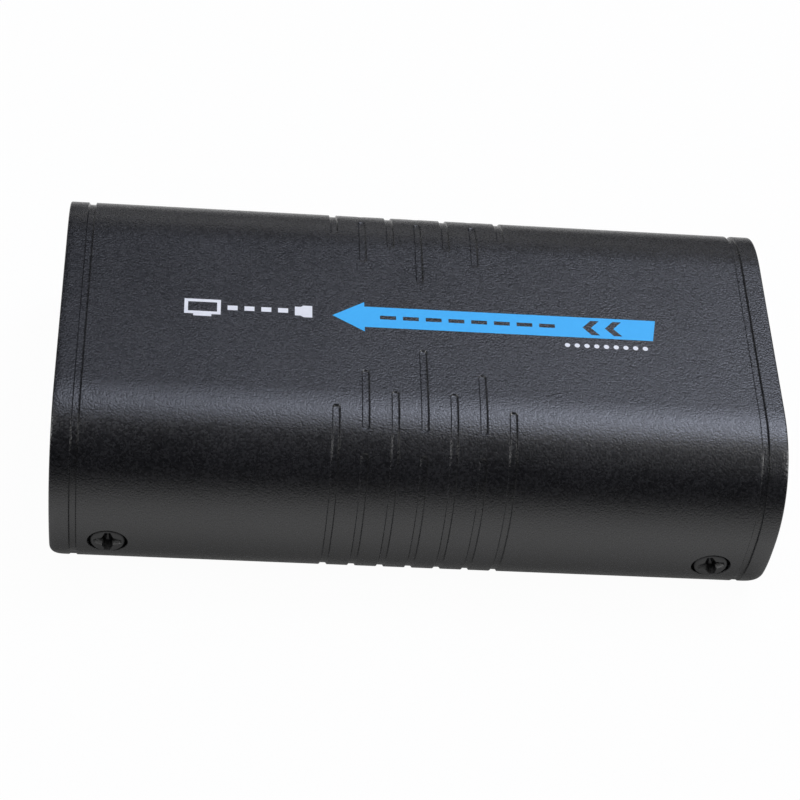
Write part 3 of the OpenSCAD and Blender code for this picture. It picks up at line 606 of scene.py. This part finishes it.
def cross_cutter():
    """Cross recess whose arms narrow outwards and whose walls lean in towards the bottom"""
    loops = [(share, head_h + over * mm) for share, over in cross_shares]
    loops.append((cross_floor_share, head_h - cross_depth))
    loops.append((cross_point_share, head_h - cross_depth - cross_point_l))
    share, height = loops[0]
    bpy.ops.mesh.primitive_circle_add(vertices=12, radius=cross_reach, fill_type="NGON")
    cutter = bpy.context.object
    corners = []
    for turn in (0, 90, 180, 270):
        lie = Matrix.Rotation(math.radians(turn), 3, "Z")
        for x, y in ((cross_reach, -cross_tip), (cross_reach, cross_tip), (cross_root, cross_root)):
            corners.append(lie @ Vector((x * share, y * share, height)))
    for vertex, corner in zip(cutter.data.vertices, corners):
        vertex.co = corner
    draw_up(loops)
    return cutter


def placed_copy(piece, matrix):
    pick(piece)
    bpy.ops.object.duplicate()
    copy = bpy.context.object
    copy.matrix_world = matrix
    settle(copy)
    return copy


thread = [(thread_r - thread_tip_in, -thread_l), (thread_r, thread_tip_l - thread_l), (thread_r, 0)]
head = [(head_r - head_edge, 0), (head_r, head_edge)]
head += [(radius * mm, head_h - under * mm) for radius, under in dome]
screw = turned("screw", thread + head)
cut(screw, cross_cutter())
smooth(screw, 30)
case_screws = []
for (side, end), turn in case_screw_turns.items():
    place_of = Matrix.Translation((end * screw_x, side * recess_floor_y, screw_z))
    lie = Matrix.Rotation(math.radians(-90 * side), 4, "X")
    case_screws.append(placed_copy(screw, place_of @ lie @ Matrix.Rotation(math.radians(turn), 4, "Z")))
bpy.data.objects.remove(screw)
case_screws = join(case_screws)
rename(case_screws, "side_screws")
screw_black, place = new_finish("screw_black")
pits = place.noise(0.3 * mm, detail=3.0, roughness=0.6)
scuff = place.noise(1.2 * mm, detail=4.0, roughness=0.7).ramp(0.62, 0.72)
tint = (scuff * 0.5).blend(rgb(0.012, 0.012, 0.013), rgb(0.05, 0.05, 0.052))
end_finish(place, tint, 0.36 + pits * 0.16, pits, depth=0.008 * mm)
wear(case_screws, screw_black)
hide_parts("case_screws")
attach(case_screws, "casing")


# The bottom cover and the two end panels are thin black mouldings. The panels click in behind the
# rims, with cut-outs for the sockets, and the cover has vents under the board.
sharp_degrees = 35


def reworked(node, name, edge, material):
    """Copy of a solid with its triangles merged, its flat faces whole and its edges rounded"""
    mesh = frame["nodes"][node].data.copy()
    piece = bpy.data.objects.new(name, mesh)
    mesh.name = name
    bpy.context.scene.collection.objects.link(piece)
    pick(piece)
    bpy.ops.object.mode_set(mode="EDIT")
    bpy.ops.mesh.select_all(action="SELECT")
    bpy.ops.mesh.remove_doubles(threshold=0.002 * mm)
    bpy.ops.mesh.dissolve_limited(angle_limit=math.radians(0.4))
    bpy.ops.object.mode_set(mode="OBJECT")
    if edge:
        apply_modifier(piece, "BEVEL", width=edge, segments=2, limit_method="ANGLE",
                       angle_limit=math.radians(sharp_degrees), use_clamp_overlap=True,
                       harden_normals=False)
    smooth(piece, sharp_degrees)
    apply_modifier(piece, "WEIGHTED_NORMAL", keep_sharp=True)
    wear(piece, material)
    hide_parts(node)
    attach(piece, body_of(frame["nodes"][node])[0])


panel_black = moulded("panel_black", rgb(0.010, 0.010, 0.011), rgb(0.017, 0.017, 0.018),
                      roughness=0.42, grain=0.22 * mm, depth=0.012 * mm)
cover_black = moulded("cover_black", rgb(0.011, 0.011, 0.012), rgb(0.018, 0.018, 0.019),
                      roughness=0.48, grain=0.30 * mm, depth=0.02 * mm)
reworked("video_end_panel", "video_panel", 0.15 * mm, panel_black)
reworked("network_end_panel", "network_panel", 0.15 * mm, panel_black)
reworked("bottom_cover", "base_cover", 0.15 * mm, cover_black)


# The sockets are bought parts soldered to the board's ends: sheet shells of tin plate, black moulded
# housings and gold-flashed contacts, with a clear power light and two clear windows for link lights.
def plated(name, color, dull, roughness, streak_turn=(0, 0, 0)):
    """Sheet or wire of bright metal, with rolling marks along one way and faint clouds"""
    material, place = new_finish(name)
    drawn_out = place.node("Mapping", {}, {"Vector": place, "Rotation": streak_turn,
                                           "Scale": (0.08, 1.0, 1.0)})
    marks = drawn_out.noise(0.05 * mm, roughness=0.6)
    cloud = place.noise(1.6 * mm, detail=3.0, roughness=0.55)
    tint = (cloud.ramp(0.35, 0.75) * 0.8).blend(color, dull)
    gloss = roughness - 0.05 + marks * 0.12 + cloud * 0.08
    end_finish(place, tint, gloss, marks, depth=0.0015 * mm, Metallic=1.0)
    return material


tin_plate = plated("tin_plate", rgb(0.62, 0.63, 0.65), rgb(0.50, 0.505, 0.52), 0.26)
contact_gold = plated("contact_gold", rgb(0.86, 0.60, 0.22), rgb(0.74, 0.50, 0.18), 0.24)
socket_black = moulded("socket_black", rgb(0.012, 0.012, 0.013), rgb(0.02, 0.02, 0.021),
                       roughness=0.36, grain=0.5 * mm, depth=0.004 * mm)
reworked("video_socket_shell", "video_shell", 0.1 * mm, tin_plate)
reworked("video_socket_insert", "video_tongue", 0.06 * mm, socket_black)
reworked("dc_jack_housing", "power_socket", 0.2 * mm, socket_black)
reworked("dc_jack_pin", "power_pin", 0, tin_plate)
reworked("network_socket_housing", "network_housing", 0.12 * mm, socket_black)
reworked("network_socket_shield", "network_shield", 0.09 * mm, tin_plate)
reworked("ir_jack_housing", "infrared_socket", 0.2 * mm, socket_black)
reworked("reset_button", "reset_cap", 0.15 * mm, socket_black)
for node in ("video_socket_contacts", "network_socket_contacts"):
    dress(node, contact_gold)
for node in ("dc_jack_spring", "power_led_leads", "ir_jack_contacts", "reset_switch_cover", "reset_dome"):
    dress(node, tin_plate)
dress("reset_switch_base", socket_black)

lens, place = new_finish("led_lens")
swirl = place.noise(0.8 * mm)
tint = swirl.ramp(0.3, 0.7).blend(rgb(0.62, 0.74, 0.60), rgb(0.72, 0.82, 0.69))
end_finish(place, tint, 0.12 + swirl * 0.1, swirl, depth=0.004 * mm, Subsurface_Weight=0.35,
           Subsurface_Scale=0.0012, Coat_Weight=0.6, Coat_Roughness=0.08)
reworked("power_led", "power_light", 0.05 * mm, lens)
reworked("link_leds", "link_windows", 0.15 * mm, lens)


# The circuit board is glass laminate with green solder mask over its copper, held on four posts by
# small zinc screws. Its cut edges show the bare laminate.
track_pitch = 0.7 * mm
hole_spacing = 2.6 * mm
weave_pitch = 0.4 * mm
board_green, place = new_finish("board_green")
lengthwise = place.part("Y")
crosswise = place.part("X")
region = place.noise(7 * mm, detail=0.0)


def tracks(feed):
    return 1 - feed.work("PINGPONG", track_pitch / 2).ramp(0.10 * mm, 0.13 * mm)


rows_of_tracks = tracks(lengthwise) * region.ramp(0.50, 0.51)
columns_of_tracks = tracks(crosswise) * (1 - region.ramp(0.44, 0.45))
copper = (rows_of_tracks + columns_of_tracks).ramp(0.4, 0.6)
holes = place.node("TexVoronoi", {}, {"Vector": place, "Scale": 1 / hole_spacing, "Randomness": 0.8})
ring = holes.ramp(0.13, 0.14) * (1 - holes.ramp(0.2, 0.21))
mask = copper.blend(rgb(0.010, 0.085, 0.032), rgb(0.018, 0.15, 0.055))
upright = place.node("TexCoord", output="Normal").part("Z")
cut_edge = 1 - upright.work("ABSOLUTE").ramp(0.4, 0.6)
weave = (lengthwise * (2 * math.pi / weave_pitch)).work("SINE")
tint = cut_edge.blend(ring.blend(mask, rgb(0.55, 0.52, 0.42)), rgb(0.30, 0.27, 0.13))
gloss = 0.28 + cut_edge * 0.4 + copper * 0.05
end_finish(place, tint, gloss, copper * 0.6 + ring * 0.4 + weave * 0.03, depth=0.02 * mm)
dress("main_board", board_green)
dress("board_screws", plated("screw_zinc", rgb(0.66, 0.67, 0.69), rgb(0.52, 0.53, 0.56), 0.3))


# The chips, regulators and the transformer are black moulded epoxy with a fine matt grain and
# tin-plated leads. A grey pad joins the processor to its heat sink.
def epoxy(name, color, grain, roughness):
    material, place = new_finish(name)
    speck = place.noise(grain, detail=3.0, roughness=0.65)
    flow = place.noise(3 * mm)
    tint = speck.ramp(0.35, 0.75).blend(color, rgb(*[2.2 * value for value in color[:3]]))
    end_finish(place, tint, roughness + speck * 0.12 - flow * 0.08, speck, depth=0.006 * mm)
    return material


chip_black = epoxy("chip_black", rgb(0.014, 0.014, 0.015), 0.09 * mm, 0.5)
for node in ("video_processor", "video_chip", "memory_chip", "network_chip", "flash_chip",
             "network_transformer", "voltage_regulators"):
    dress(node, chip_black)
dress("chip_leads", tin_plate)
dress("power_inductor", epoxy("ferrite_grey", rgb(0.035, 0.035, 0.038), 0.16 * mm, 0.55))
dress("small_components", epoxy("ceramic_tan", rgb(0.26, 0.17, 0.085), 0.12 * mm, 0.42))
dress("thermal_pad", epoxy("pad_grey", rgb(0.17, 0.22, 0.28), 0.2 * mm, 0.75))


# The heat sink is an aluminium extrusion, so its drawing marks run along the fins. The crystals and
# the capacitors are drawn cans of the same bright metal.
along_z = (0, math.pi / 2, 0)
dress("heat_sink", plated("sink_aluminium", rgb(0.60, 0.61, 0.63), rgb(0.50, 0.51, 0.53), 0.38))
can_metal = plated("can_metal", rgb(0.64, 0.65, 0.67), rgb(0.55, 0.56, 0.58), 0.24, along_z)
dress("crystals", can_metal)
dress("electrolytic_capacitors", can_metal)


# The floor is a sheet of matt white paper that lies a hair under the box, and it also glows as a light. The
# camera sees it white with a trace of shadow, and gloss sees it glowing bright beside the box and dim further
# off. Under the box it glows for scattered light and so lights the underside, and from below it is clear, so
# that the underside shows.
floor_drop = 0.02 * mm
paper_white = 0.8
seen_white = 0.97
far_gloss = 0.22
near_reach = (58 * mm, 135 * mm)
side_reach = (28 * mm, 39 * mm)
end_reach = (53 * mm, 64 * mm)
white = rgb(1, 1, 1)
bpy.ops.mesh.primitive_plane_add(size=6, location=(0, 0, -floor_drop))
floor = bpy.context.object
rename(floor, "floor")
settle(floor)
white_floor, place = new_finish("white_floor")
shortened = place.node("Mapping", {}, {"Vector": place, "Scale": (0.5, 1, 1)})
from_middle = place.node("VectorMath", {"operation": "LENGTH"}, {0: shortened}, output="Value")
near = 1 - from_middle.ramp(*near_reach)
off_side = place.part("Y").work("ABSOLUTE").ramp(*side_reach)
off_end = place.part("X").work("ABSOLUTE").ramp(*end_reach)
beside = 1 - (1 - off_side) * (1 - off_end)
lit = place.node("BsdfDiffuse", {}, {"Color": rgb(paper_white, paper_white, paper_white)})
glow = place.node("Emission", {}, {"Color": white, "Strength": 1.0})
dim = place.node("Emission", {}, {"Color": white, "Strength": far_gloss})
clear = place.node("BsdfTransparent", {}, {"Color": white})
seen = place.node("LightPath", output="Is Camera Ray")
mirrored = place.node("LightPath", output="Is Glossy Ray")
scattered = place.node("LightPath", output="Is Diffuse Ray")
underneath = place.node("NewGeometry", output="Backfacing")
reflected = (near * beside).shade(dim, glow)
bounce = (scattered * (1 - beside)).shade(lit, glow)
lower = mirrored.shade(bounce, reflected)
from_above = (seen * seen_white).shade(lower, glow)
place.node("OutputMaterial", {}, {"Surface": underneath.shade(from_above, clear)})
wear(floor, white_floor)


# The studio is a pale room with soft light. Flat lamps stand in bands on an arc over the box, from
# the rear wall over the top to the front, each facing the arc's axis, and they draw the highlights
# and dark bands along its sides. A wide lamp in front of them lights matt colours alone.
room_level = 0.02
world = bpy.data.worlds.new("studio")
bpy.context.scene.world = world
world.use_nodes = True
world.node_tree.nodes.clear()
sky = Feed(world.node_tree, None)
room = sky.node("Background", {}, {"Color": white, "Strength": room_level})
backdrop = sky.node("Background", {}, {"Color": white, "Strength": 1.0})
seen = sky.node("LightPath", output="Is Camera Ray")
sky.node("OutputWorld", {}, {"Surface": seen.shade(room, backdrop)})


def soft_box(name, place, facing, width, height, level, color=(1, 1, 1)):
    """Flat soft light that faces a point from its place, with its width, height and brightness"""
    data = bpy.data.lights.new(name, "AREA")
    data.shape = "RECTANGLE"
    data.size = width
    data.size_y = height
    data.energy = level * math.pi * width * height
    data.color = color
    lamp = bpy.data.objects.new(name, data)
    bpy.context.scene.collection.objects.link(lamp)
    away = (Vector(place) - Vector(facing)).normalized()
    aside = Vector((0, 0, 1)).cross(away).normalized()
    if aside.x < 0:
        aside = -aside
    axes = Matrix((aside, away.cross(aside), away)).transposed().to_4x4()
    lamp.matrix_world = Matrix.Translation(place) @ axes
    return lamp


# Each band: its lean from upright in degrees, to the front where it is positive, the degrees of the
# arc that it fills, and the brightness of its left, middle and right lamps
arc_r = 1.2
arc_parts = {"left": (-1.5, -0.35), "middle": (-0.2, 0.25), "right": (0.25, 0.85)}
plain_tint = (1, 1, 1)
sky_tint = (0.87, 0.93, 1.12)
arc_bands = {"low_wall": (-75, 10, plain_tint, (2.31, 0.88, 0)),
             "high_wall": (-65, 10, plain_tint, (0, 0.64, 0.99)),
             "low_rear": (-48, 8, plain_tint, (0, 0, 0.62)),
             "rear": (-40, 8, sky_tint, (0, 0.7, 0)),
             "high_rear": (-32, 8, sky_tint, (0, 0.8, 7.3)),
             "rear_top": (-24, 8, sky_tint, (0, 5.5, 5.2)),
             "near_top": (-16, 8, sky_tint, (0, 2.5, 11.3)),
             "top": (-8, 8, sky_tint, (0, 3.7, 0)),
             "over": (1, 10, plain_tint, (0.51, 0.41, 3.91)),
             "front_top": (13, 14, plain_tint, (2.95, 0, 0.37)),
             "front": (30, 20, plain_tint, (0, 0, 0.47))}
for band, (lean, spread, tint, levels) in arc_bands.items():
    turn = math.radians(lean)
    height = 2 * arc_r * math.tan(math.radians(spread) / 2)
    for (part, (left, right)), level in zip(arc_parts.items(), levels):
        if level:
            x = (left + right) / 2
            lamp_place = (x, -arc_r * math.sin(turn), arc_r * math.cos(turn))
            soft_box(band + "_" + part, lamp_place, (x, 0, 0), right - left, height, level, tint)
box_middle = (0, 0, 0)
glint_right = soft_box("groove_glint_right", (0.9, -0.36, 0.70), box_middle, 0.28, 0.55, 19.0)
glint_right.visible_diffuse = False
glint_left = soft_box("groove_glint_left", (-0.9, -0.30, 0.72), box_middle, 0.25, 0.45, 14.0)
glint_left.visible_diffuse = False
fill = soft_box("plain_fill", (0, -0.4, 1.1), box_middle, 1.2, 1.2, 0.45)
fill.visible_glossy = False
